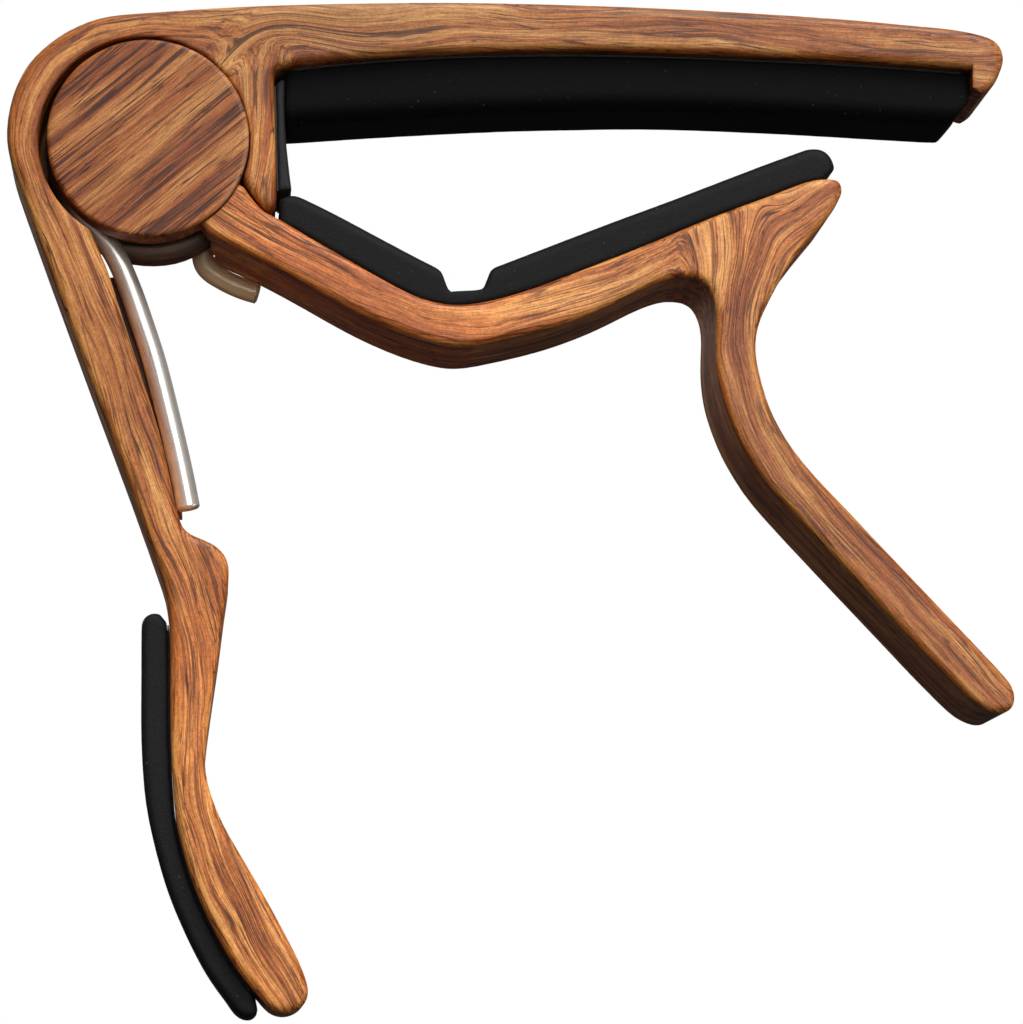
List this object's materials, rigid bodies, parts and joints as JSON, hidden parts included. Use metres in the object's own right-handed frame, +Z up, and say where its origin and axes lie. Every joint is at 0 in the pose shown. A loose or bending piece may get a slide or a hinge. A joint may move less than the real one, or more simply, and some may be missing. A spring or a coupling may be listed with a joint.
{
  "type": "guitar capo",
  "caption": "Spring clamp for a string instrument's neck: a straight padded bar and a padded V arm, squeezed open by two handles about a coil spring pivot.",
  "frame": {"origin": "centre of the outer face of the back cap, on the pivot axis", "axes": "+Y is the pivot axis, out of the back face; +X runs along the string bar away from the pivot; +Z is up, with the handles hanging down"},
  "size_m": [0.0866, 0.014, 0.0876],
  "materials": {
    "print_bar": "cast zinc alloy with a satin wood-grain print",
    "print_cap": "pressed disc with a satin wood-grain print",
    "rivet_steel": "plain turned steel",
    "washer_steel": "plain stamped steel",
    "bush_brass": "plain turned brass",
    "thrust_plastic": "natural low-friction plastic",
    "spring_steel": "nickel plated spring wire",
    "black_rubber": "matt moulded rubber",
    "tape": "thin double-sided tape"
  },
  "bodies": {
    "upper_body": {"upper_lever": "print_bar", "pivot_bush": "bush_brass", "thrust_washer": "thrust_plastic", "back_cap": "print_cap", "torsion_spring": "spring_steel", "string_pad": "black_rubber", "string_pad_tape": "tape", "edge_pad": "black_rubber", "edge_pad_tape": "tape", "grip_pad": "black_rubber", "grip_pad_tape": "tape"},
    "lower_body": {"lower_lever": "print_bar", "pivot_rivet": "rivet_steel", "front_cap": "print_cap", "back_washer": "washer_steel", "neck_pad": "black_rubber", "neck_pad_tape": "tape"}
  },
  "joints": [
    {"name": "jaw_pivot", "type": "hinge", "parent": "upper_body", "child": "lower_body", "pos_m": [0, 0, 0], "axis": [0, 1, 0], "range_deg": [0, 28], "stiffness_Nm_per_rad": 0.45, "springref_deg": -68.75, "deforming": ["torsion_spring"]}
  ]
}
